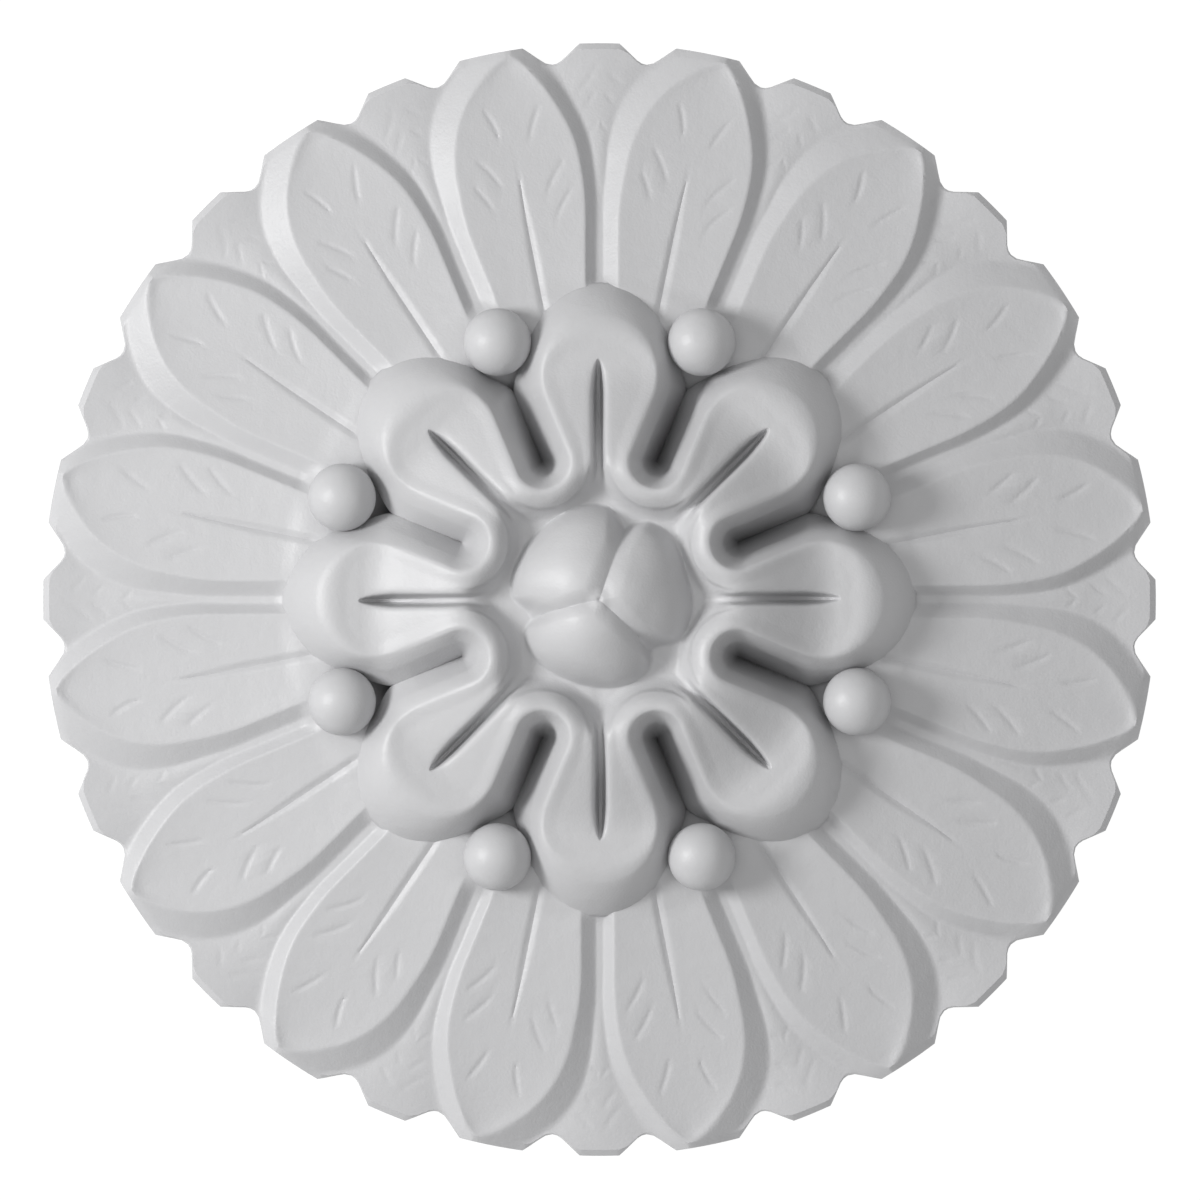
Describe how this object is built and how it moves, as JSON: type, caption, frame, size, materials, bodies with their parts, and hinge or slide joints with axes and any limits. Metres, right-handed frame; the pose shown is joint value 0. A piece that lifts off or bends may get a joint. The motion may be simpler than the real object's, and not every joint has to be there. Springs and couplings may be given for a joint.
{
  "type": "ceiling rose",
  "caption": "Round moulded ceiling rose: long veined leaves under a lobed flower with beads and a round boss, on a flat back that is fixed to a ceiling.",
  "frame": {"origin": "centre of the flat back, which is the face that meets the ceiling", "axes": "+Z out of the carved face, away from the ceiling; +X and +Y along the flower's petals. On a ceiling the part is turned over, so +Z points down."},
  "size_m": [0.45, 0.45, 0.075],
  "materials": {
    "primed_white": "factory primer, soft satin"
  },
  "bodies": {
    "root": {"ceiling_rose": "primed_white"}
  },
  "joints": []
}
